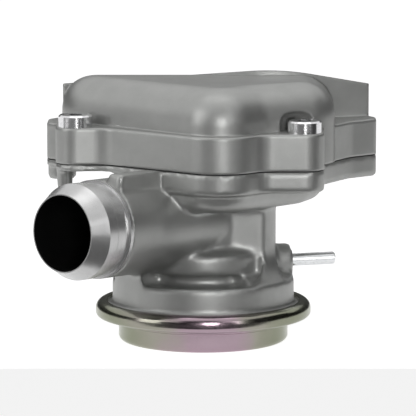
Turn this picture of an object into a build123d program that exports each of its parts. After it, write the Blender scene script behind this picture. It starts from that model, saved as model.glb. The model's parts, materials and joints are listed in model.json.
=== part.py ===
from build123d import *
import math
import os

# Secondary air non-return valve, worked by vacuum: a cast lower housing with an inlet duct, a cast
# cover with the outlet face, and a crimped steel can that closes the diaphragm chamber.
# Origin: centre of the can's base. +Z runs up the valve's axis, +Y to the outlet side. Sizes in mm.

# Vacuum can
can_radius = 26.5
can_sheet = 1.0
can_corner = 1.4
step_radius = 27.4
step_z = 6.0
crimp_radius = 33.75
crimp_bottom = 7.6
crimp_lip_gap = 1.6
crimp_round = 1.1
vent_radius = 1.5
vent_offset = 14.0

# Diaphragm and its plates
diaphragm_rim = 1.0
diaphragm_skin = 0.8
diaphragm_roll_radius = 24.6
plate_radius = 17.0
plate_thickness = 1.0
plate_lip = 1.2
plate_gap_below = 1.4

# Drum of the lower housing, with the vacuum chamber in it
foot_thickness = 2.1
foot_clearance = 0.35
drum_radius = 28.4
drum_top = 20.2
shelf_rise = 2.4
groove_bottom = 18.9
groove_inner = 16.0
rim_inner = 26.0
groove_start = 215.0
groove_end = 307.0
support_edge_x = -18.9
wall_radius = 20.0
ledge_z = 29.0
ledge_rise = 1.2
chamber_wall = 2.5
lower_chamber_radius = 23.5
lower_chamber_top = 16.8
bulkhead = 3.0

# Tower and column that carry the air up to the seat
tower_radius = 15.2
air_radius = 11.0
column_radius = 22.7
column_front = -12.5
deck_thickness = 2.5

# Inlet duct and its turned spigot
duct_angle = 229.6
duct_tilt = 1.7
duct_shift = 6.5
duct_z = 38.0
duct_end = 49.9
duct_end_radius = 15.15
duct_root_radius = 15.4
duct_bore_radius = 11.9
low_bore_start = 5.0
low_bore_end = 23.0
bore_radius = 11.5
spigot_mouth = 65.4
lip_radius = 11.95
cone_radius = 14.0
cone_length = 4.0
crest_radius = 14.75
crest_start = 5.35
crest_end = 8.8
hose_seat_radius = 14.45
hose_seat_end = 11.05
neck_radius = 14.2
neck_end = 14.2
shank_radius = 13.4
shank_length = 10.0
web_half_width = 10.0
web_reach = 30.5
rib_near = 4.0
rib_far = 9.5
rib_height = 17.3
rib_round = 1.2
support_start = 193.0
support_height = 9.0
flank_radius = 12.0
flank_offset = 3.2
flank_reach = 42.0
flank_inset = 0.8

# Vacuum nipple
nipple_angle = 17.0
nipple_z = 23.6
nipple_radius = 2.0
nipple_shank_radius = 2.3
nipple_collar = 0.3
nipple_bore = 1.2
nipple_projection = 14.9
nipple_seat_depth = 6.0
boss_radius = 5.4
boss_reach = 28.3

# Flanges at the parting plane
parting_z = 56.1
gasket_thickness = 0.4
gasket_inset = 0.45
rim_thickness = 6.6
skirt_thickness = 1.9
cover_flange = 11.2
edge_round = 0.7
pan_depth = 6.1
pan_wall = 2.5
pan_round = 5.5

# Cover: dome, outlet block and the sloping outlet face
dome_top = 81.45
dome_round = 11.0
cover_wall = 3.0
face_angle = 30.0
face_front_y = 13.0
face_front_z = 83.2
face_wall = 4.0
port_length = 44.0
port_width = 14.0
port_centre_y = 24.0
bolt_centre_x = 4.0
bolt_span = 80.0
bolt_hole_radius = 2.5
bolt_hole_depth = 13.0
bolt_centre_y = 28.5

# Cover screws
screw_radius = 2.5
screw_head_radius = 5.3
screw_head_height = 3.7
screw_socket_radius = 2.3
screw_socket_depth = 2.4
screw_clearance = 0.3
front_hole_depth = 21.9
pocket_radius = 7.6
pocket_height = 6.0
lobe_radius = 6.2
front_screws = [(-39.6, -5.0), (31.0, -20.0)]
rear_screws = [(-37.5, 31.0), (4.0, 32.0), (45.5, 31.0)]
collar_height = 5.5
collar_wall = 1.9
rear_screw_reach = 6.0

# Seat, shut-off valve and stem
seat_bore = 10.3
seat_lip = 11.6
seat_flange = 13.2
seat_shank = 12.0
seat_height = 1.3
seat_edge = 0.7
seal_thickness = 1.3
seal_inner = 8.8
valve_radius = 13.0
valve_thickness = 1.5
stem_radius = 2.0
stem_running = 0.05
guide_radius = 4.2
guide_above = 4.0
guide_below = 2.5
guide_boss_radius = 7.0
guide_boss_height = 2.5
stem_seal_height = 1.5
nut_radius = 4.0
nut_height = 2.2
stem_end = 0.2
rivet_radius = 3.2
rivet_height = 0.9

# Return spring
spring_radius = 9.0
spring_wire = 0.8
spring_turns = 5

# Non-return valve in the cover
check_x = 10.0
check_y = 2.0
check_plate_thickness = 2.2
check_plate_ledge = 2.0
check_port_inner = 5.0
check_port_outer = 12.5
check_ports = 4
check_web = 2.6
check_disc_radius = 14.5
check_disc_thickness = 1.0
check_seal_thickness = 0.8
check_lift = 3.5
check_post_radius = 2.2
check_running = 0.1
check_cap_radius = 6.0
check_cap_thickness = 1.5
check_wire = 0.5
check_turns = 3
check_spring_radius = 4.2

# Outlines seen from above: a corner and its radius
body_outline = [
    ((-45.8, -11.2), lobe_radius),
    ((-30.5, -9.9), 9.0),
    ((5.8, -37.9), 14.0),
    ((18.6, -26.2), 8.0),
    ((37.2, -26.2), lobe_radius),
    ((37.2, -8.35), 8.0),
    ((46.2, 7.0), 8.0),
    ((54.6, 14.0), 3.0),
    ((54.6, 19.0), 3.0),
    ((52.5, 23.0), 3.0),
    ((52.5, 38.0), 6.0),
    ((-44.5, 38.0), 6.0),
    ((-44.5, 20.0), 3.0),
    ((-48.9, 14.5), 4.0),
    ((-48.9, 4.5), 4.0),
    ((-45.8, 1.0), 3.0),
]
pan_outline = [
    ((-10.0, -23.3), 3.0),
    ((5.8, -35.3), 12.0),
    ((32.9, -8.5), 8.0),
    ((37.4, 2.0), 8.0),
    ((37.4, 27.0), 8.0),
    ((-14.0, 27.0), 8.0),
    ((-14.0, -12.0), 4.0),
]
bowl_outline = [
    ((2.0, -24.5), 3.0),
    ((6.0, -30.0), 3.0),
    ((29.9, -6.5), 6.0),
    ((34.4, 2.5), 6.0),
    ((34.4, 24.0), 6.0),
    ((-9.0, 24.0), 6.0),
    ((-9.0, 8.0), 3.0),
    ((0.0, -8.0), 3.0),
]
dome_outline = [
    ((-44.5, 9.3), 15.0),
    ((5.5, -35.6), 13.0),
    ((19.0, -21.5), 10.0),
    ((41.0, -9.0), 13.0),
    ((41.0, 33.5), 0.0),
    ((-44.5, 33.5), 0.0),
]
block_outline = [
    ((-44.5, 22.0), 0.8),
    ((24.2, 12.0), 41.5),
    ((52.5, 22.0), 0.8),
    ((52.5, 38.0), 6.0),
    ((-44.5, 38.0), 6.0),
]
post_outline = [
    ((15.8, -23.6), 0),
    ((18.8, -12.5), 0),
    ((16.0, -3.0), 0),
    ((22.6, -3.0), 0),
    ((25.3, -12.9), 0),
    ((30.0, -26.0), 0),
]
skirt_edge_x = -15.6
skirt_back_y = 24.5
rear_lobe = (-44.35, 10.0)
rear_lobe_radius = 4.4
rear_lobe_round = 1.0
lobe_rib = (-42.9, -3.4)
lobe_rib_foot = 2.1
lobe_rib_head = 2.8

# Heights and reaches that follow from the sizes above
crimp_seat = crimp_bottom + can_sheet
foot_bottom = crimp_seat + diaphragm_rim
foot_top = foot_bottom + foot_thickness
crimp_top = foot_top + can_sheet
crimp_lip_radius = drum_radius + crimp_lip_gap
foot_radius = crimp_radius - can_sheet - foot_clearance
chamber_radius = groove_inner - chamber_wall
bulkhead_bottom = ledge_z + ledge_rise - bulkhead
bulkhead_top = ledge_z + ledge_rise
rim_bottom = parting_z - rim_thickness
pan_bottom = rim_bottom - pan_depth
bowl_floor = pan_bottom + pan_wall
air_top = bowl_floor - deck_thickness
gasket_top = parting_z + gasket_thickness
cover_ledge = gasket_top + cover_flange
seat_top = bowl_floor + seat_height
valve_bottom = seat_top + seal_thickness
valve_top = valve_bottom + valve_thickness
nut_top = valve_top + nut_height
stem_top = nut_top + stem_end
valve_travel = gasket_top - stem_top - 0.5
lower_plate_bottom = can_sheet + plate_gap_below
lower_plate_top = lower_plate_bottom + plate_thickness
upper_plate_bottom = lower_plate_top + diaphragm_skin
upper_plate_top = upper_plate_bottom + plate_thickness
stem_bottom = lower_plate_bottom - rivet_height
nipple_tip = boss_reach + nipple_projection
check_plate_top = gasket_top + check_plate_thickness
check_seal_top = check_plate_top + check_seal_thickness
check_disc_top = check_seal_top + check_disc_thickness
check_cap_bottom = check_disc_top + check_lift + 2 * check_wire * check_turns + 0.5
duct_plane = Plane(
    origin=(0, duct_shift, duct_z),
    x_dir=(math.sin(math.radians(duct_angle)), -math.cos(math.radians(duct_angle)), 0),
    z_dir=(math.cos(math.radians(duct_angle)), math.sin(math.radians(duct_angle)),
           math.tan(math.radians(duct_tilt))),
)
nipple_plane = Plane(
    origin=(0, 0, nipple_z),
    x_dir=(math.sin(math.radians(nipple_angle)), -math.cos(math.radians(nipple_angle)), 0),
    z_dir=(math.cos(math.radians(nipple_angle)), math.sin(math.radians(nipple_angle)), 0),
)
face_slope = math.tan(math.radians(face_angle))


def face_height(y):
    return face_front_z - face_slope * (y - face_front_y)


def outline(corners, grow=0.0):
    points = [point for point, radius in corners]
    radii = [radius for point, radius in corners]
    face = make_face(FilletPolyline(*points, radius=radii, close=True))
    return offset(face, grow, kind=Kind.ARC) if grow else face


def prism(face, low, high):
    return extrude(Pos(0, 0, low) * face, high - low)


def drum(radius, low, high):
    return Pos(0, 0, low) * Cylinder(radius, high - low, align=(Align.CENTER, Align.CENTER, Align.MIN))


def rod(plane, radius, start, end):
    return plane * Pos(0, 0, start) * Cylinder(
        radius, end - start, align=(Align.CENTER, Align.CENTER, Align.MIN)
    )


def turned(points, radii=None):
    path = FilletPolyline(*points, radius=radii, close=True) if radii else Polyline(*points, close=True)
    return revolve(Plane.XZ * make_face(path), Axis.Z)


def sector(start, end):
    """Wide slice of the ground plane between two angles round the can's axis."""
    reach = 60.0
    angles = [math.radians(start + (end - start) * i / 2) for i in range(3)]
    corners = [(reach * math.cos(angle), reach * math.sin(angle)) for angle in angles]
    return make_face(Polyline((0, 0), *corners, close=True))


def block(x0, x1, y0, y1, z0, z1):
    return Pos((x0 + x1) / 2, (y0 + y1) / 2, (z0 + z1) / 2) * Box(x1 - x0, y1 - y0, z1 - z0)


def under_face(depth):
    """Everything below the sloping outlet face, moved down along its normal by depth."""
    size = 400.0
    plane = Plane(origin=(0, face_front_y, face_front_z)).rotated((-face_angle, 0, 0))
    return plane * Pos(0, 0, -depth) * Box(size, size, size, align=(Align.CENTER, Align.CENTER, Align.MAX))


def face_plane(x, y):
    return Plane(origin=(x, y, face_height(y))).rotated((-face_angle, 0, 0))


def vacuum_can():
    inner = can_radius - can_sheet
    turn_in = crimp_radius - can_sheet
    points = [
        (0, 0), (can_radius, 0), (can_radius, step_z), (step_radius, step_z),
        (step_radius, crimp_bottom), (crimp_radius, crimp_bottom), (crimp_radius, crimp_top),
        (crimp_lip_radius, crimp_top),
        (crimp_lip_radius, foot_top), (turn_in, foot_top), (turn_in, crimp_seat),
        (step_radius - can_sheet, crimp_seat), (step_radius - can_sheet, step_z + can_sheet),
        (inner, step_z + can_sheet), (inner, can_sheet), (0, can_sheet),
    ]
    radii = [0, can_corner, 0.3, 0.3, 0.5, crimp_round, crimp_round, 0.3, 0, 0.4, 0, 0.3, 0.2, 0.2,
             can_corner - can_sheet, 0]
    return turned(points, radii) - Pos(vent_offset, 0, 0) * drum(vent_radius, -1, can_sheet + 1)


def diaphragm():
    roll_in = plate_radius + plate_lip
    points = [
        (stem_radius, lower_plate_top), (roll_in, lower_plate_top),
        (diaphragm_roll_radius, foot_bottom - 2.6), (diaphragm_roll_radius + 0.6, crimp_seat),
        (foot_radius, crimp_seat), (foot_radius, foot_bottom),
        (diaphragm_roll_radius - 0.3, foot_bottom), (diaphragm_roll_radius - 0.9, foot_bottom - 2.2),
        (roll_in - 0.3, upper_plate_bottom), (stem_radius, upper_plate_bottom),
    ]
    return turned(points)


def diaphragm_upper_plate():
    lip = plate_radius + plate_lip
    lip_top = upper_plate_top + plate_lip
    points = [
        (stem_radius, upper_plate_bottom), (plate_radius, upper_plate_bottom),
        (lip, upper_plate_bottom + plate_lip), (lip, lip_top), (lip - plate_thickness, lip_top),
        (plate_radius - plate_thickness, upper_plate_top), (stem_radius, upper_plate_top),
    ]
    return turned(points)


def diaphragm_lower_plate():
    points = [
        (stem_radius, lower_plate_bottom), (plate_radius, lower_plate_bottom),
        (plate_radius, lower_plate_top), (stem_radius, lower_plate_top),
    ]
    return turned(points, [0, 0.4, 0.2, 0])


def spring(mean_radius, wire, low, high, turns):
    """Open coil between two flats, wire radius clear of both ends."""
    rise = high - low - 2 * wire
    path = Helix(pitch=rise / turns, height=rise, radius=mean_radius)
    section = Plane(origin=path @ 0, z_dir=path % 0) * Circle(wire)
    return Pos(0, 0, low + wire) * sweep(section, path=path)


def valve_stem():
    rivet = drum(rivet_radius, stem_bottom, lower_plate_bottom)
    return drum(stem_radius, stem_bottom, stem_top) + rivet


def valve_disc():
    disc = drum(valve_radius, valve_bottom, valve_top) + drum(seal_inner, seat_top + 0.3, valve_bottom)
    return disc - drum(stem_radius, 0, stem_top)


def valve_seal():
    return drum(valve_radius, seat_top, valve_bottom) - drum(seal_inner, 0, parting_z)


def valve_nut():
    return prism(RegularPolygon(nut_radius, 6), valve_top, nut_top) - drum(stem_radius, 0, parting_z)


def valve_seat():
    points = [
        (seat_bore, air_top), (seat_shank, air_top), (seat_shank, bowl_floor),
        (seat_flange, bowl_floor), (seat_flange, bowl_floor + seat_edge), (seat_lip, seat_top),
        (seat_bore, seat_top),
    ]
    return turned(points)


def stem_guide():
    bush = drum(guide_radius, bulkhead_bottom - guide_below, bulkhead_top + guide_boss_height + guide_above)
    return bush - drum(stem_radius + stem_running, 0, parting_z)


def stem_seal():
    low = bulkhead_top + guide_boss_height + guide_above
    return drum(guide_radius, low, low + stem_seal_height) - drum(stem_radius + stem_running, 0, parting_z)


def vacuum_nipple():
    tube = rod(nipple_plane, nipple_radius, boss_reach - nipple_seat_depth, nipple_tip)
    tip = tube.faces().sort_by(Axis((0, 0, 0), nipple_plane.z_dir))[-1]
    tube = chamfer(tip.edges(), 0.3)
    tube += rod(nipple_plane, nipple_shank_radius, boss_reach - nipple_seat_depth, boss_reach + nipple_collar)
    shoulder = nipple_plane * Pos(0, 0, boss_reach + nipple_collar) * Cone(
        nipple_shank_radius, nipple_radius, nipple_collar, align=(Align.CENTER, Align.CENTER, Align.MIN)
    )
    return tube + shoulder - rod(nipple_plane, nipple_bore, 0, nipple_tip + 1)


def inlet_spigot():
    back = spigot_mouth - duct_end
    shank_end = back + shank_length
    points = [
        (bore_radius, 0), (lip_radius, 0), (cone_radius, cone_length), (crest_radius, crest_start),
        (crest_radius, crest_end), (hose_seat_radius, crest_end + 0.5),
        (hose_seat_radius, hose_seat_end),
        (neck_radius, hose_seat_end + 0.1), (neck_radius, neck_end), (duct_end_radius, neck_end + 0.1),
        (duct_end_radius, back), (shank_radius, back),
        (shank_radius, shank_end), (bore_radius, shank_end),
    ]
    profile = make_face(Polyline(*[(r, spigot_mouth - m) for r, m in points], close=True))
    return duct_plane * revolve(Plane.XZ * profile, Axis.Z)


def duct_forms():
    """Solid duct, with its web to the flange and the web that stands on the drum."""
    cone = duct_plane * Cone(
        duct_root_radius, duct_end_radius, duct_end, align=(Align.CENTER, Align.CENTER, Align.MIN)
    )
    turn = Pos(0, duct_shift, 0) * Rot(0, 0, duct_angle)
    upper = turn * block(0, web_reach, -web_half_width, web_half_width, duct_z, parting_z)
    support_top = drum_top + support_height
    lower = drum(drum_radius, drum_top - 3, support_top) - drum(groove_inner, 0, support_top)
    lower = lower & prism(sector(support_start, groove_end), 0, support_top)
    lower = lower & block(-90, support_edge_x, -90, 90, 0, support_top)
    side = Vector(-duct_plane.x_dir.X, -duct_plane.x_dir.Y, 0)
    root = side * flank_offset + Vector(0, 0, duct_z)
    aside = duct_end_radius - flank_radius - flank_inset
    tip = duct_plane.origin + duct_plane.z_dir * flank_reach + side * aside
    flank = rod(Plane(origin=root, z_dir=tip - root), flank_radius, 0, (tip - root).length)
    return cone + upper + lower + flank


def duct_rib():
    """Upright rib beside the duct's crown; it stands clear of the cover above the parting plane."""
    rib = block(-rib_far, -rib_near, -rib_height, 0, 0, duct_end)
    ends = [edge for edge in rib.edges().filter_by(Axis.Y) if (edge @ 0).Z > 1]
    corner = [edge for edge in ends if (edge @ 0).X < -rib_near]
    rib = duct_plane * fillet(corner, rib_round)
    rib -= rod(duct_plane, duct_end_radius - 1, -1, duct_end + 1)
    return rib - prism(outline(body_outline, screw_clearance), parting_z, dome_top)


def drum_forms():
    """Foot, drum, shelf, ledge and the flared post under the column's corner."""
    shelf_top = drum_top + shelf_rise
    points = [
        (0, foot_bottom), (foot_radius, foot_bottom), (foot_radius, foot_top), (drum_radius, foot_top),
        (drum_radius, drum_top), (rim_inner, drum_top), (wall_radius, shelf_top), (wall_radius, ledge_z),
        (tower_radius, bulkhead_top), (0, bulkhead_top),
    ]
    body = turned(points, [0, 0.4, 0.4, 0.5, 0.7, 0, 0, 0.8, 0.8, 0])
    groove = turned([
        (groove_inner, groove_bottom), (rim_inner, groove_bottom), (rim_inner, shelf_top),
        (groove_inner, shelf_top),
    ])
    groove = groove & prism(sector(groove_start, groove_end), 0, ledge_z)
    body -= groove & block(support_edge_x, 90, -90, 90, 0, ledge_z)
    flare = revolve(
        Plane.XZ * make_face(
            Polyline((wall_radius - 2, ledge_z + 3), (wall_radius - 2, drum_top - 2),
                     (drum_radius, drum_top - 2), (drum_radius, drum_top))
            + ThreePointArc((drum_radius, drum_top), (column_radius + 1.3, drum_top + 4.6),
                            (column_radius, ledge_z + 3))
            + Line((column_radius, ledge_z + 3), (wall_radius - 2, ledge_z + 3))
        ),
        Axis.Z,
    )
    return body + (flare & prism(outline(post_outline), drum_top - 1, ledge_z + 3))


def column_forms():
    tower = drum(tower_radius, ledge_z, rim_bottom)
    column = drum(column_radius, drum_top - 1, rim_bottom) & block(
        -2, 60, column_front, 60, 0, rim_bottom
    )
    back = drum(column_radius, drum_top - 1, rim_bottom) & block(-60, 0, 0, 60, 0, rim_bottom)
    boss = rod(nipple_plane, boss_radius, chamber_radius - 1, boss_reach)
    return tower + column + back + boss


def flange_forms():
    skirt = prism(outline(body_outline), parting_z - skirt_thickness, parting_z)
    rim = prism(outline(body_outline), rim_bottom, parting_z - 0.5)
    rim = fillet(rim.faces().sort_by(Axis.Z)[0].edges(), 1.2)
    thick = prism(
        outline([
            ((skirt_edge_x, -60), 0), ((80, -60), 0), ((80, 60), 0), ((-80, 60), 0),
            ((-80, skirt_back_y), 0), ((skirt_edge_x, skirt_back_y), 6),
        ]),
        rim_bottom - 1, parting_z,
    )
    thick = rim & thick
    lobe = Pos(*rear_lobe, 0) * drum(rear_lobe_radius, rim_bottom, parting_z)
    lobe = fillet(lobe.faces().sort_by(Axis.Z)[0].edges(), rear_lobe_round)
    rib = Pos(*lobe_rib, duct_z + 5) * Cone(
        lobe_rib_foot, lobe_rib_head, parting_z - duct_z - 6, align=(Align.CENTER, Align.CENTER, Align.MIN)
    )
    pan = prism(outline(pan_outline), pan_bottom, parting_z - 1)
    pan = fillet(pan.faces().sort_by(Axis.Z)[0].edges(), pan_round)
    return skirt + thick + lobe + rib + pan


def lower_housing():
    body = drum_forms() + column_forms() + duct_forms() + flange_forms()
    body = (body & block(-90, 90, -90, 90, 0, parting_z)) + duct_rib()
    for x, y in front_screws:
        body += Pos(x, y, 0) * drum(screw_radius + collar_wall, parting_z - 1, parting_z + collar_height)
    body -= drum(lower_chamber_radius, 0, lower_chamber_top)
    body -= drum(chamber_radius, 0, bulkhead_bottom)
    body -= drum(air_radius, bulkhead_top, air_top)
    body += drum(guide_boss_radius, bulkhead_top - 1, bulkhead_top + guide_boss_height)
    body -= drum(guide_radius, 0, air_top)
    body -= drum(seat_shank, air_top, bowl_floor + 1)
    bowl = outline(bowl_outline) + Circle(valve_radius + 2.5)
    body -= prism(bowl, bowl_floor, parting_z + 1)
    low_bore = rod(duct_plane, duct_bore_radius, low_bore_start, low_bore_end + 1)
    low_bore = low_bore & block(-60, 60, -60, 60, bulkhead_top, air_top)
    body -= rod(duct_plane, duct_bore_radius, low_bore_end, duct_end + 1)
    body -= low_bore - drum(guide_boss_radius, 0, bulkhead_top + guide_boss_height)
    body -= rod(duct_plane, shank_radius, duct_end - shank_length, duct_end + 1)
    body -= rod(nipple_plane, nipple_bore, chamber_radius - 2, boss_reach)
    body -= rod(nipple_plane, nipple_shank_radius, boss_reach - nipple_seat_depth, boss_reach + 1)
    collar_top = parting_z + collar_height
    for x, y in front_screws:
        body -= Pos(x, y, 0) * drum(screw_radius, parting_z - front_hole_depth, collar_top + 1)
    for x, y in rear_screws:
        body -= Pos(x, y, 0) * drum(screw_radius + screw_clearance, 0, parting_z + 1)
        body -= Pos(x, y, 0) * drum(screw_head_radius + screw_clearance, 0, rim_bottom + screw_head_height)
    return body


def cover_gasket():
    sheet = prism(outline(body_outline, -gasket_inset), parting_z, gasket_top)
    sheet -= prism(outline(bowl_outline) + Circle(valve_radius + 2.5), 0, gasket_top + 1)
    for x, y in front_screws:
        sheet -= Pos(x, y, 0) * drum(screw_radius + collar_wall, 0, gasket_top + 1)
    for x, y in rear_screws:
        sheet -= Pos(x, y, 0) * drum(screw_radius + screw_clearance, 0, gasket_top + 1)
    return sheet


def dome(inset):
    top = dome_top - inset
    face = outline(dome_outline)
    if inset:
        face = offset(face, -inset, kind=Kind.INTERSECTION)
    form = prism(face, gasket_top, top)
    rim = form.faces().sort_by(Axis.Z)[-1].edges()
    back = rim.sort_by(Axis.Y)[-1]
    return fillet([edge for edge in rim if edge != back], dome_round - inset)


def upper_cover():
    flange = prism(outline(body_outline), gasket_top, cover_ledge)
    flange = fillet(flange.faces().sort_by(Axis.Z)[-1].edges(), edge_round)
    body = flange + dome(0)
    for x, y in front_screws:
        pocket = Pos(x, y, 0) * drum(pocket_radius, cover_ledge, cover_ledge + pocket_height)
        body -= fillet(pocket.faces().sort_by(Axis.Z)[-1].edges(), 3.0)
    body += prism(outline(block_outline), gasket_top, face_front_z + 10)
    body = body & under_face(0)
    cavity = dome(cover_wall) & under_face(face_wall)
    body -= cavity & block(-90, 90, -90, 90, cover_ledge - cover_wall, dome_top)
    body -= prism(outline(bowl_outline) + Circle(valve_radius + 2.5), 0, cover_ledge)
    plane = face_plane(bolt_centre_x, port_centre_y)
    body -= extrude(plane * Pos(0, 0, -face_wall - 4) * SlotOverall(port_length, port_width), face_wall + 10)
    for side in (-1, 1):
        plane = face_plane(bolt_centre_x + side * bolt_span / 2, bolt_centre_y)
        body -= rod(plane, bolt_hole_radius, -bolt_hole_depth, 5)
    plate_seat = outline(bowl_outline, check_plate_ledge) + Circle(valve_radius + 2.5 + check_plate_ledge)
    body -= prism(plate_seat, 0, check_plate_top)
    for x, y in front_screws:
        body -= Pos(x, y, 0) * drum(screw_radius + screw_clearance, 0, cover_ledge + 1)
        body -= Pos(x, y, 0) * drum(screw_radius + collar_wall + 0.1, 0, parting_z + collar_height + 0.3)
    for x, y in rear_screws:
        body -= Pos(x, y, 0) * drum(screw_radius, 0, gasket_top + rear_screw_reach + 1)
    return body


def check_plate():
    face = outline(bowl_outline, check_plate_ledge) + Circle(valve_radius + 2.5 + check_plate_ledge)
    plate = prism(offset(face, -0.1, kind=Kind.ARC), gasket_top, check_plate_top)
    ring = drum(check_port_outer, 0, parting_z + 10) - drum(check_port_inner, 0, parting_z + 10)
    for i in range(check_ports):
        ring -= Rot(0, 0, i * 360 / check_ports) * block(
            0, 2 * check_port_outer, -check_web / 2, check_web / 2, 0, parting_z + 11
        )
    return plate - Pos(check_x, check_y, 0) * (ring + drum(check_post_radius, 0, parting_z + 10))


def check_disc():
    disc = drum(check_disc_radius, check_seal_top, check_disc_top)
    return Pos(check_x, check_y, 0) * (disc - drum(check_post_radius + check_running, 0, dome_top))


def check_seal():
    seal = drum(check_disc_radius, check_plate_top, check_seal_top)
    return Pos(check_x, check_y, 0) * (seal - drum(check_post_radius + check_running, 0, dome_top))


def check_post():
    """Guide post riveted through the plate, with the cap that stops the disc."""
    post = drum(check_post_radius, gasket_top, check_cap_bottom + check_cap_thickness)
    cap = drum(check_cap_radius, check_cap_bottom, check_cap_bottom + check_cap_thickness)
    return Pos(check_x, check_y, 0) * (post + fillet(cap.edges(), 0.4))


def check_spring():
    return Pos(check_x, check_y, 0) * spring(
        check_spring_radius, check_wire, check_disc_top, check_cap_bottom, check_turns
    )


def screw(shank, pointing_up):
    head = drum(screw_head_radius, 0, screw_head_height)
    head = chamfer(head.faces().sort_by(Axis.Z)[-1].edges(), 0.5)
    head -= prism(RegularPolygon(screw_socket_radius, 6), screw_head_height - screw_socket_depth,
                  screw_head_height + 1)
    body = head + drum(screw_radius, -shank, 0)
    return Rot(180, 0, 0) * body if pointing_up else body


def front_cover_screws():
    shank = cover_ledge - parting_z + skirt_thickness
    return Compound([Pos(x, y, cover_ledge) * screw(shank, False) for x, y in front_screws])


def rear_cover_screws():
    seat = rim_bottom + screw_head_height
    shank = gasket_top + rear_screw_reach - seat
    return Compound([Pos(x, y, seat) * screw(shank, True) for x, y in rear_screws])


parts = {
    "vacuum_can": vacuum_can(),
    "diaphragm": diaphragm(),
    "diaphragm_upper_plate": diaphragm_upper_plate(),
    "diaphragm_lower_plate": diaphragm_lower_plate(),
    "return_spring": spring(spring_radius, spring_wire, upper_plate_top, bulkhead_bottom, spring_turns),
    "valve_stem": valve_stem(),
    "valve_disc": valve_disc(),
    "valve_seal": valve_seal(),
    "valve_nut": valve_nut(),
    "valve_seat": valve_seat(),
    "stem_guide": stem_guide(),
    "stem_seal": stem_seal(),
    "vacuum_nipple": vacuum_nipple(),
    "inlet_spigot": inlet_spigot(),
    "lower_housing": lower_housing(),
    "cover_gasket": cover_gasket(),
    "upper_cover": upper_cover(),
    "check_plate": check_plate(),
    "check_disc": check_disc(),
    "check_seal": check_seal(),
    "check_post": check_post(),
    "check_spring": check_spring(),
    "front_cover_screws": front_cover_screws(),
    "rear_cover_screws": rear_cover_screws(),
}

os.makedirs("parts", exist_ok=True)
for name, shape in parts.items():
    export_step(shape, f"parts/{name}.step")
    print(name, round(shape.volume))
print("shut-off valve lifts", round(valve_travel, 2))
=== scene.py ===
import json
import math

import bmesh
import bpy
from mathutils import Matrix, Vector


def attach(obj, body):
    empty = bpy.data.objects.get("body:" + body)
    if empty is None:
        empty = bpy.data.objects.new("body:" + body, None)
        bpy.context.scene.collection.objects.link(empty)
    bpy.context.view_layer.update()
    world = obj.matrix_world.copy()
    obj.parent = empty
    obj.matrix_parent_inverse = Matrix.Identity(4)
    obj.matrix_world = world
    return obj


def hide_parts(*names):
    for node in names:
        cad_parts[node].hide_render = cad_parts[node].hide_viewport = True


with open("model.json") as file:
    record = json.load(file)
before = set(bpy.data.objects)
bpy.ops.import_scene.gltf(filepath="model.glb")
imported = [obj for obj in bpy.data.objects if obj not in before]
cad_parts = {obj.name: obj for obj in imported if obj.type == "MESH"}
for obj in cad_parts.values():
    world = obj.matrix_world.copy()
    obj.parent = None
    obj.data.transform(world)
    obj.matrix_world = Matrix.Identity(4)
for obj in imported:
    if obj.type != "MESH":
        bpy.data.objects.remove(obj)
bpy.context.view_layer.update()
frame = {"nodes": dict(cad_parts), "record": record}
nodes = frame["nodes"]
print("frame loaded,", len(nodes), "nodes")

mm = 0.001

# Camera: long lens in front of the object, raised a little and aimed down at its middle
view = {
    "target": (1.5 * mm, 0.0, 41.35 * mm), "distance": 1156 * mm, "elevation": 8.4,
    "lens": 320.19, "sensor": 36.0, "reach": 20.0,
}


def addCamera():
    rise = math.radians(view["elevation"])
    camera = bpy.data.objects.new("camera", bpy.data.cameras.new("camera"))
    bpy.context.scene.collection.objects.link(camera)
    back = Vector((0.0, -math.cos(rise), math.sin(rise))) * view["distance"]
    camera.location = Vector(view["target"]) + back
    camera.rotation_euler = (math.radians(90) - rise, 0.0, 0.0)
    camera.data.lens = view["lens"]
    camera.data.sensor_width = view["sensor"]
    camera.data.clip_end = view["reach"]
    bpy.context.scene.camera = camera


addCamera()
print("camera set")


# Helpers for the finishes; every finish is laid out on Object coordinates
def newMaterial(name):
    material = bpy.data.materials.new(name)
    material.use_nodes = True
    tree = material.node_tree
    tree.nodes.clear()
    output = tree.nodes.new("ShaderNodeOutputMaterial")
    shader = tree.nodes.new("ShaderNodeBsdfPrincipled")
    tree.links.new(shader.outputs["BSDF"], output.inputs["Surface"])
    place = tree.nodes.new("ShaderNodeTexCoord").outputs["Object"]
    return material, tree, shader, place


def addNoise(tree, place, size, detail=4.0, roughness=0.6):
    # size is the width of a speck in millimetres
    noise = tree.nodes.new("ShaderNodeTexNoise")
    noise.inputs["Scale"].default_value = 1.0 / (size * mm)
    noise.inputs["Detail"].default_value = detail
    noise.inputs["Roughness"].default_value = roughness
    tree.links.new(place, noise.inputs["Vector"])
    return noise.outputs["Fac"]


def addRamp(tree, value, stops):
    ramp = tree.nodes.new("ShaderNodeValToRGB")
    band = ramp.color_ramp
    while len(band.elements) < len(stops):
        band.elements.new(0.5)
    for element, (where, colour) in zip(band.elements, stops):
        element.position = where
        element.color = (*colour, 1.0)
    tree.links.new(value, ramp.inputs["Fac"])
    return ramp.outputs["Color"]


def addRange(tree, value, low, high, fromLow=0.3, fromHigh=0.7):
    spread = tree.nodes.new("ShaderNodeMapRange")
    spread.inputs["From Min"].default_value = fromLow
    spread.inputs["From Max"].default_value = fromHigh
    spread.inputs["To Min"].default_value = low
    spread.inputs["To Max"].default_value = high
    tree.links.new(value, spread.inputs["Value"])
    return spread.outputs["Result"]


def addBump(tree, value, height, strength, under=None):
    bump = tree.nodes.new("ShaderNodeBump")
    bump.inputs["Distance"].default_value = height * mm
    bump.inputs["Strength"].default_value = strength
    tree.links.new(value, bump.inputs["Height"])
    if under is not None:
        tree.links.new(under, bump.inputs["Normal"])
    return bump.outputs["Normal"]


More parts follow.
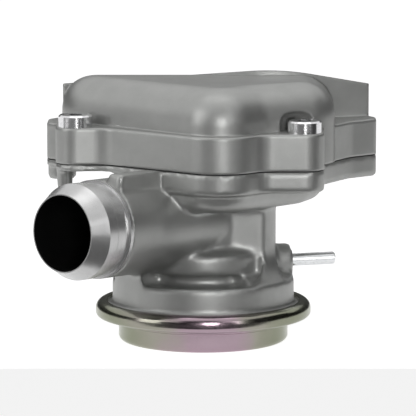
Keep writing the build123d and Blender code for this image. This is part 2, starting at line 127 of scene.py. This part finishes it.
def addSoftEdge(tree, radius):
    bevel = tree.nodes.new("ShaderNodeBevel")
    bevel.samples = 8
    bevel.inputs["Radius"].default_value = radius * mm
    return bevel.outputs["Normal"]


def grey(level):
    return (level, level, level)


# Blasted die casting: fine grain, faint clouds and soft edges
casting = {
    "dark": (0.365, 0.369, 0.360), "light": (0.405, 0.409, 0.399), "cloud": 9.0, "cloudBand": (0.35, 0.65),
    "grain": 0.35, "grainDetail": 3.0, "grainRoughness": 0.7, "grainHeight": 0.05, "grainStrength": 0.35,
    "metallic": 0.65, "rough": (0.38, 0.48), "coverEdge": 1.0, "housingEdge": 0.6,
}


def addSpeckle(tree, shader, speck, band, values):
    # base colour that goes from dark to light over a band of the noise
    stops = [(band[0], values["dark"]), (band[1], values["light"])]
    tree.links.new(addRamp(tree, speck, stops), shader.inputs["Base Color"])


def makeCasting(name, edge):
    material, tree, shader, place = newMaterial(name)
    clouds = addNoise(tree, place, casting["cloud"])
    grain = addNoise(tree, place, casting["grain"], casting["grainDetail"], casting["grainRoughness"])
    addSpeckle(tree, shader, clouds, casting["cloudBand"], casting)
    tree.links.new(addRange(tree, grain, *casting["rough"]), shader.inputs["Roughness"])
    shader.inputs["Metallic"].default_value = casting["metallic"]
    rounded = addSoftEdge(tree, edge)
    normal = addBump(tree, grain, casting["grainHeight"], casting["grainStrength"], rounded)
    tree.links.new(normal, shader.inputs["Normal"])
    return material


# Turned bright aluminium: rings along the duct's axis, with painted shade, near black, within the bore
turned = {
    "dark": grey(0.54), "light": grey(0.62), "paintedBoreShade": grey(0.02), "cloud": 4.0, "cloudBand": (0.3, 0.7),
    "pitch": 0.22, "height": 0.004, "strength": 0.25, "waver": 0.6, "waverScale": 40.0,
    "metallic": 0.72, "rough": (0.26, 0.34), "boreShadeGap": 0.05, "boreShadeFade": 0.2,
}
# Length of one ring of the wave texture at scale 1
waveLength = 0.314


def makeTurned(name, direction, point, bore):
    # Z of the mapped place runs along the axis, so X and Y give the distance from it
    material, tree, shader, place = newMaterial(name)
    turn = Vector(direction).rotation_difference(Vector((0.0, 0.0, 1.0)))
    mapping = tree.nodes.new("ShaderNodeMapping")
    mapping.inputs["Rotation"].default_value = turn.to_euler()
    mapping.inputs["Location"].default_value = -(turn @ Vector(point))
    tree.links.new(place, mapping.inputs["Vector"])
    rings = tree.nodes.new("ShaderNodeTexWave")
    rings.bands_direction = "Z"
    rings.inputs["Scale"].default_value = waveLength / (turned["pitch"] * mm)
    rings.inputs["Distortion"].default_value = turned["waver"]
    rings.inputs["Detail Scale"].default_value = turned["waverScale"]
    tree.links.new(mapping.outputs["Vector"], rings.inputs["Vector"])
    across = tree.nodes.new("ShaderNodeVectorMath")
    across.operation = "MULTIPLY"
    across.inputs[1].default_value = (1.0, 1.0, 0.0)
    tree.links.new(mapping.outputs["Vector"], across.inputs[0])
    away = tree.nodes.new("ShaderNodeVectorMath")
    away.operation = "LENGTH"
    tree.links.new(across.outputs["Vector"], away.inputs[0])
    # painted shade: within the bore's radius the base colour fades to near black, standing for the shade deep
    # in the bore
    inner, outer = (bore + turned["boreShadeGap"]) * mm, (bore + turned["boreShadeFade"]) * mm
    pastBoreShade = addRange(tree, away.outputs["Value"], 0.0, 1.0, inner, outer)
    clouds = addNoise(tree, place, turned["cloud"])
    low, high = turned["cloudBand"]
    metal = addRamp(tree, clouds, [(low, turned["dark"]), (high, turned["light"])])
    tint = tree.nodes.new("ShaderNodeMix")
    tint.data_type = "RGBA"
    tint.inputs["A"].default_value = (*turned["paintedBoreShade"], 1.0)
    tree.links.new(pastBoreShade, tint.inputs["Factor"])
    tree.links.new(metal, tint.inputs["B"])
    tree.links.new(tint.outputs["Result"], shader.inputs["Base Color"])
    roughness = addRange(tree, rings.outputs["Fac"], *turned["rough"], 0.0, 1.0)
    tree.links.new(roughness, shader.inputs["Roughness"])
    shader.inputs["Metallic"].default_value = turned["metallic"]
    normal = addBump(tree, rings.outputs["Fac"], turned["height"], turned["strength"])
    tree.links.new(normal, shader.inputs["Normal"])
    return material


# Passivated zinc with a thin film on top; its tint is partly painted sheen: rose at the front and back of the
# can, olive at its sides
zinc = {
    "rose": (0.34, 0.26, 0.30), "straw": (0.29, 0.28, 0.24), "olive": (0.22, 0.23, 0.17), "wander": 5.0,
    "wanderSize": 16.0, "wanderDetail": 2.0, "reach": 30.0, "rough": (0.16, 0.26),
    "film": 480.0, "filmIor": 1.45, "fine": 0.8, "fineHeight": 0.01, "fineStrength": 0.12,
    "bands": [(0.05, "olive"), (0.22, "straw"), (0.38, "rose"), (0.66, "rose"), (0.80, "straw"),
              (0.95, "olive")],
}


def makeZinc(name):
    material, tree, shader, place = newMaterial(name)
    apart = tree.nodes.new("ShaderNodeSeparateXYZ")
    tree.links.new(place, apart.inputs["Vector"])
    noise = addNoise(tree, place, zinc["wanderSize"], zinc["wanderDetail"])
    drift = addRange(tree, noise, -zinc["wander"] * mm, zinc["wander"] * mm)
    across = tree.nodes.new("ShaderNodeMath")
    across.operation = "ADD"
    tree.links.new(apart.outputs["X"], across.inputs[0])
    tree.links.new(drift, across.inputs[1])
    # painted sheen: the tint runs across X with a random drift, rose where the can faces front and back and
    # olive where it faces the sides
    sheenAcross = addRange(tree, across.outputs["Value"], 0.0, 1.0, -zinc["reach"] * mm, zinc["reach"] * mm)
    stops = [(where, zinc[tint]) for where, tint in zinc["bands"]]
    tree.links.new(addRamp(tree, sheenAcross, stops), shader.inputs["Base Color"])
    fine = addNoise(tree, place, zinc["fine"])
    tree.links.new(addRange(tree, fine, *zinc["rough"]), shader.inputs["Roughness"])
    shader.inputs["Metallic"].default_value = 1.0
    shader.inputs["Thin Film Thickness"].default_value = zinc["film"]
    shader.inputs["Thin Film IOR"].default_value = zinc["filmIor"]
    tree.links.new(addBump(tree, fine, zinc["fineHeight"], zinc["fineStrength"]), shader.inputs["Normal"])
    return material


# Plain metals and soft parts, each with its own speckle
plain = {
    "plated": {"dark": (0.60, 0.60, 0.61), "light": (0.78, 0.78, 0.79), "size": 1.2, "metallic": 1.0,
               "rough": (0.14, 0.24)},
    "steel": {"dark": (0.58, 0.59, 0.60), "light": (0.74, 0.75, 0.76), "size": 0.8, "metallic": 1.0,
              "rough": (0.14, 0.22)},
    "brass": {"dark": (0.62, 0.46, 0.20), "light": (0.76, 0.60, 0.30), "size": 2.0, "metallic": 1.0,
              "rough": (0.22, 0.34)},
    "rubber": {"dark": grey(0.018), "light": grey(0.035), "size": 0.6, "metallic": 0.0,
               "rough": (0.55, 0.72)},
    "gasket": {"dark": grey(0.020), "light": grey(0.050), "size": 0.5, "metallic": 0.0,
               "rough": (0.70, 0.85)},
}
plainRelief = {"band": (0.3, 0.7), "height": 0.01, "strength": 0.15}


def makePlain(name):
    values = plain[name]
    material, tree, shader, place = newMaterial(name)
    speck = addNoise(tree, place, values["size"])
    addSpeckle(tree, shader, speck, plainRelief["band"], values)
    tree.links.new(addRange(tree, speck, *values["rough"]), shader.inputs["Roughness"])
    shader.inputs["Metallic"].default_value = values["metallic"]
    normal = addBump(tree, speck, plainRelief["height"], plainRelief["strength"])
    tree.links.new(normal, shader.inputs["Normal"])
    return material


mounts = {mount["name"]: mount for mount in frame["record"]["mounts"]}
airInlet = mounts["air_inlet"]
inletBore = airInlet["dims"]["r_mm"]
finishes = {
    "lower_housing": makeCasting("castHousing", casting["housingEdge"]),
    "upper_cover": makeCasting("castCover", casting["coverEdge"]),
    "inlet_spigot": makeTurned("turnedSpigot", airInlet["axis"], airInlet["pos_m"], inletBore),
    "check_plate": makeTurned("turnedPlate", (0.0, 0.0, 1.0), (0.0, 0.0, 0.0), 0.0),
    "vacuum_can": makeZinc("zincWithPaintedSheen"),
}
plainNodes = {
    "plated": ["front_cover_screws", "rear_cover_screws", "diaphragm_upper_plate", "diaphragm_lower_plate",
               "valve_nut"],
    "steel": ["vacuum_nipple", "valve_stem", "valve_disc", "return_spring", "check_post", "check_spring",
              "check_disc"],
    "brass": ["valve_seat", "stem_guide"],
    "rubber": ["diaphragm", "stem_seal", "valve_seal", "check_seal"],
    "gasket": ["cover_gasket"],
}
for finish, members in plainNodes.items():
    finishes.update(dict.fromkeys(members, makePlain(finish)))
for name, material in finishes.items():
    nodes[name].data.materials.clear()
    nodes[name].data.materials.append(material)
print("finishes set on", len(finishes), "nodes")


# Drawn can with its rolled ring: corners of the sheet's section (radius, height, rounding)
can = {
    "section": [
        (0.0, 0.0, 0.0), (26.5, 0.0, 1.8), (26.5, 6.0, 0.5), (27.4, 6.0, 0.3), (27.4, 7.6, 0.5),
        (33.75, 7.6, 1.5), (33.75, 12.7, 2.6), (30.0, 12.7, 0.4), (30.0, 11.7, 0.0), (32.75, 11.7, 0.0),
        (32.75, 8.6, 0.4), (26.4, 8.6, 0.0), (26.4, 7.0, 0.3), (25.5, 7.0, 0.2), (25.5, 1.0, 0.4),
        (0.0, 1.0, 0.0),
    ],
    "steps": 144, "cornerSteps": 8, "weld": 0.002, "sharp": 35, "sheet": 1.0,
    "ventPlace": 14.0, "ventRadius": 1.5, "ventSides": 32, "ventDepth": 4.0,
}


def smoothFaces(mesh, angle):
    mesh.shade_smooth()
    mesh.set_sharp_from_angle(angle=math.radians(angle))


def applyModifiers(piece):
    # the mesh as its modifiers leave it, with the modifiers gone from the piece
    bpy.context.view_layer.update()
    done = bpy.data.meshes.new_from_object(piece.evaluated_get(bpy.context.evaluated_depsgraph_get()))
    piece.modifiers.clear()
    return done


def carve(piece, tool):
    cut = piece.modifiers.new("carve", "BOOLEAN")
    cut.operation = "DIFFERENCE"
    cut.solver = "EXACT"
    cut.object = tool
    piece.data = applyModifiers(piece)
    bpy.data.objects.remove(tool)


def newPiece(name, form):
    mesh = bpy.data.meshes.new(name)
    form.to_mesh(mesh)
    form.free()
    piece = bpy.data.objects.new(name, mesh)
    bpy.context.scene.collection.objects.link(piece)
    return piece


def finishPiece(piece, sharp, replaced):
    smoothFaces(piece.data, sharp)
    piece.data.materials.clear()
    piece.data.materials.append(finishes[replaced])


def addCan():
    form = bmesh.new()
    corners = []
    for radius, height, rounding in can["section"]:
        corners.append((form.verts.new((radius * mm, 0.0, height * mm)), rounding))
    line = [corner for corner, rounding in corners]
    for here, there in zip(line, line[1:]):
        form.edges.new((here, there))
    for corner, rounding in corners:
        if rounding:
            bmesh.ops.bevel(form, geom=[corner], offset=rounding * mm, offset_type="OFFSET",
                            affect="VERTICES", segments=can["cornerSteps"], profile=0.5, material=-1)
    bmesh.ops.spin(form, geom=form.verts[:] + form.edges[:], axis=(0.0, 0.0, 1.0), cent=(0.0, 0.0, 0.0),
                   angle=math.tau, steps=can["steps"], use_merge=True)
    bmesh.ops.remove_doubles(form, verts=form.verts, dist=can["weld"] * mm)
    bmesh.ops.recalc_face_normals(form, faces=form.faces)
    piece = newPiece("rolledCan", form)
    drill = bmesh.new()
    bmesh.ops.create_cone(drill, cap_ends=True, segments=can["ventSides"], radius1=can["ventRadius"] * mm,
                          radius2=can["ventRadius"] * mm, depth=can["ventDepth"] * mm)
    bmesh.ops.translate(drill, vec=(can["ventPlace"] * mm, 0.0, can["sheet"] / 2 * mm), verts=drill.verts)
    carve(piece, newPiece("ventDrill", drill))
    finishPiece(piece, can["sharp"], "vacuum_can")
    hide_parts("vacuum_can")
    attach(piece, "housing")
    return piece


rolledCan = addCan()
print("can made,", len(rolledCan.data.polygons), "faces")


# Housing with the soft corners of a casting. Its outer skin is smoothed between two heights, but not the stem
# bore, the diaphragm's chamber at the foot, the duct's bore, seat and mouth, or the nipple's bore.
softCasting = {
    "voxel": 0.8, "rounds": 4, "pull": 0.5, "weld": 0.001, "sharp": 45, "low": 13.6, "high": 48.6,
    "chamber": 14.2, "foot": 24.2, "footHeight": 17.5, "ductStart": 52.65, "bore": 12.4, "seat": 13.9,
    "seatStart": 37.5, "mouth": 49.3, "nippleStart": 35.9, "nippleBore": 2.9,
}


def axisFrom(mount, back):
    # an axis and its start, that far behind the mount
    axis = Vector(mounts[mount]["axis"])
    return Vector(mounts[mount]["pos_m"]) - axis * back * mm, axis


def alongAndAway(point, start, axis):
    along = (point - start).dot(axis)
    return along / mm, (point - start - axis * along).length / mm


def isOuterSkin(point, duct, nipple):
    height = point.z / mm
    if not softCasting["low"] < height < softCasting["high"]:
        return False
    out = math.hypot(point.x, point.y) / mm
    room = softCasting["foot"] if height < softCasting["footHeight"] else softCasting["chamber"]
    if out < room:
        return False
    along, away = alongAndAway(point, *duct)
    bore = softCasting["seat"] if along > softCasting["seatStart"] else softCasting["bore"]
    if along > softCasting["mouth"] or (along > 0 and away < bore):
        return False
    along, away = alongAndAway(point, *nipple)
    return not (along > 0 and away < softCasting["nippleBore"])


def addSoftHousing():
    form = bmesh.new()
    form.from_mesh(nodes["lower_housing"].data)
    bmesh.ops.remove_doubles(form, verts=form.verts, dist=softCasting["weld"] * mm)
    piece = newPiece("softHousing", form)
    grid = piece.modifiers.new("grid", "REMESH")
    grid.mode = "VOXEL"
    grid.voxel_size = softCasting["voxel"] * mm
    skin = applyModifiers(piece)
    duct = axisFrom("air_inlet", softCasting["ductStart"])
    nipple = axisFrom("vacuum_nipple", softCasting["nippleStart"])
    form = bmesh.new()
    form.from_mesh(skin)
    soft = [vert for vert in form.verts if isOuterSkin(vert.co, duct, nipple)]
    for turn in range(softCasting["rounds"]):
        bmesh.ops.smooth_vert(form, verts=soft, factor=softCasting["pull"], use_axis_x=True, use_axis_y=True,
                              use_axis_z=True)
    form.to_mesh(skin)
    form.free()
    piece.data = skin
    finishPiece(piece, softCasting["sharp"], "lower_housing")
    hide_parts("lower_housing")
    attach(piece, "housing")
    return piece


softHousing = addSoftHousing()
print("housing softened,", sum(len(face.vertices) - 2 for face in softHousing.data.polygons), "triangles")


# Pale floor and white surroundings for the camera, dimmer ones for the light that falls on the object
studio = {
    "floor": 4.0, "floorDrop": 0.02, "floorColour": grey(0.80), "bounce": grey(0.12), "glow": 0.88,
    "world": 0.22,
}


def directlySeen(tree):
    # 1 for what the camera sees, also in a mirror or through glass, and 0 for scattered light
    rays = tree.nodes.new("ShaderNodeLightPath").outputs
    seen = rays["Is Camera Ray"]
    for kind in ("Is Glossy Ray", "Is Transmission Ray"):
        either = tree.nodes.new("ShaderNodeMath")
        either.operation = "MAXIMUM"
        tree.links.new(seen, either.inputs[0])
        tree.links.new(rays[kind], either.inputs[1])
        seen = either.outputs["Value"]
    return seen


def addFloor():
    form = bmesh.new()
    bmesh.ops.create_grid(form, x_segments=1, y_segments=1, size=studio["floor"])
    floor = newPiece("floor", form)
    floor.location.z = -studio["floorDrop"] * mm
    material = bpy.data.materials.new("paleFloor")
    material.use_nodes = True
    tree = material.node_tree
    tree.nodes.clear()
    output = tree.nodes.new("ShaderNodeOutputMaterial")
    seen = directlySeen(tree)
    diffuse = tree.nodes.new("ShaderNodeBsdfDiffuse")
    shade = tree.nodes.new("ShaderNodeMix")
    shade.data_type = "RGBA"
    shade.inputs["A"].default_value = (*studio["bounce"], 1.0)
    shade.inputs["B"].default_value = (*studio["floorColour"], 1.0)
    tree.links.new(seen, shade.inputs["Factor"])
    tree.links.new(shade.outputs["Result"], diffuse.inputs["Color"])
    glow = tree.nodes.new("ShaderNodeEmission")
    glow.inputs["Color"].default_value = (1.0, 1.0, 1.0, 1.0)
    power = tree.nodes.new("ShaderNodeMath")
    power.operation = "MULTIPLY"
    power.inputs[1].default_value = studio["glow"]
    tree.links.new(seen, power.inputs[0])
    tree.links.new(power.outputs["Value"], glow.inputs["Strength"])
    both = tree.nodes.new("ShaderNodeAddShader")
    tree.links.new(diffuse.outputs["BSDF"], both.inputs[0])
    tree.links.new(glow.outputs["Emission"], both.inputs[1])
    tree.links.new(both.outputs["Shader"], output.inputs["Surface"])
    floor.data.materials.append(material)


def setWorld():
    world = bpy.data.worlds.new("studio")
    bpy.context.scene.world = world
    world.use_nodes = True
    tree = world.node_tree
    tree.nodes.clear()
    output = tree.nodes.new("ShaderNodeOutputWorld")
    background = tree.nodes.new("ShaderNodeBackground")
    seen = directlySeen(tree)
    strength = tree.nodes.new("ShaderNodeMapRange")
    strength.inputs["To Min"].default_value = studio["world"]
    strength.inputs["To Max"].default_value = 1.0
    tree.links.new(seen, strength.inputs["Value"])
    background.inputs["Color"].default_value = (1.0, 1.0, 1.0, 1.0)
    tree.links.new(strength.outputs["Result"], background.inputs["Strength"])
    tree.links.new(background.outputs["Background"], output.inputs["Surface"])


# Large soft lamps that stand around the object, in metres and watts
lampAim = (0.0, 0.0, 0.045)
lamps = {
    "softLeft": {"azimuth": -60.0, "away": 1.0, "height": 0.30, "size": (0.44, 0.80), "power": 2.8},
    "softFront": {"azimuth": 8.0, "away": 1.0, "height": 0.22, "size": (0.20, 0.45), "power": 3.3},
    "softRight": {"azimuth": 38.0, "away": 1.0, "height": 0.28, "size": (0.10, 0.60), "power": 0.6},
    "softTop": {"azimuth": 180.0, "away": 0.05, "height": 1.1, "size": (0.9, 0.5), "power": 1.3},
}
# Dark and grey cards, and a low round tent, for the metal to mirror; the camera itself doesn't see them
standingCards = {
    "cardFront": {"azimuth": -3.0, "away": 1.30, "width": 1.12, "height": 1.5, "level": 0.05},
    "cardRight": {"azimuth": 84.0, "away": 1.20, "width": 1.70, "height": 1.2, "level": 0.04},
    "cardBehind": {"azimuth": 180.0, "away": 1.50, "width": 3.20, "height": 0.5, "level": 0.30},
}
lyingCards = {
    "cardFloor": {"low": (-0.12, -1.2), "high": (1.2, -0.05), "level": 0.07},
    "cardFloorLeft": {"low": (-1.2, -1.2), "high": (-0.12, -0.05), "level": 0.40},
}
cardLift = 0.0005
cardCloth = {"weave": 3.0, "band": (0.3, 0.7), "shade": 0.9, "shine": 1.1, "rough": 0.9}
tent = {"radius": 1.7, "height": 0.75, "level": 0.20, "segments": 48}


def addLamps():
    aim = Vector(lampAim)
    for name, values in lamps.items():
        data = bpy.data.lights.new(name, "AREA")
        data.shape = "RECTANGLE"
        data.size, data.size_y = values["size"]
        data.energy = values["power"]
        lamp = bpy.data.objects.new(name, data)
        turn = math.radians(values["azimuth"])
        lamp.location = (math.sin(turn) * values["away"], -math.cos(turn) * values["away"], values["height"])
        lamp.rotation_euler = (aim - lamp.location).to_track_quat("-Z", "Y").to_euler()
        bpy.context.scene.collection.objects.link(lamp)


def finishCard(name, form, level):
    material, tree, shader, place = newMaterial(name)
    cloth = addNoise(tree, place, cardCloth["weave"])
    shades = {"dark": grey(level * cardCloth["shade"]), "light": grey(level * cardCloth["shine"])}
    addSpeckle(tree, shader, cloth, cardCloth["band"], shades)
    shader.inputs["Roughness"].default_value = cardCloth["rough"]
    card = newPiece(name, form)
    card.data.materials.append(material)
    card.visible_camera = False


def newSheet(width, depth):
    form = bmesh.new()
    bmesh.ops.create_grid(form, x_segments=1, y_segments=1, size=0.5)
    bmesh.ops.scale(form, vec=(width, depth, 1.0), verts=form.verts)
    return form


def addCards():
    upright = Matrix.Rotation(math.radians(90), 3, "X")
    for name, values in standingCards.items():
        form = newSheet(values["width"], values["height"])
        bmesh.ops.rotate(form, matrix=upright, verts=form.verts)
        bmesh.ops.translate(form, vec=(0.0, -values["away"], values["height"] / 2), verts=form.verts)
        turn = Matrix.Rotation(math.radians(values["azimuth"]), 3, "Z")
        bmesh.ops.rotate(form, matrix=turn, verts=form.verts)
        finishCard(name, form, values["level"])
    for name, values in lyingCards.items():
        low, high = Vector(values["low"]), Vector(values["high"])
        form = newSheet(*(high - low))
        bmesh.ops.translate(form, vec=(*((low + high) / 2), cardLift), verts=form.verts)
        finishCard(name, form, values["level"])
    form = bmesh.new()
    bmesh.ops.create_cone(form, cap_ends=False, segments=tent["segments"], radius1=tent["radius"],
                          radius2=tent["radius"], depth=tent["height"])
    bmesh.ops.translate(form, vec=(0.0, 0.0, tent["height"] / 2), verts=form.verts)
    finishCard("greyTent", form, tent["level"])


addCards()
addFloor()
setWorld()
addLamps()
bpy.context.scene.view_settings.view_transform = "Standard"
print("studio set")
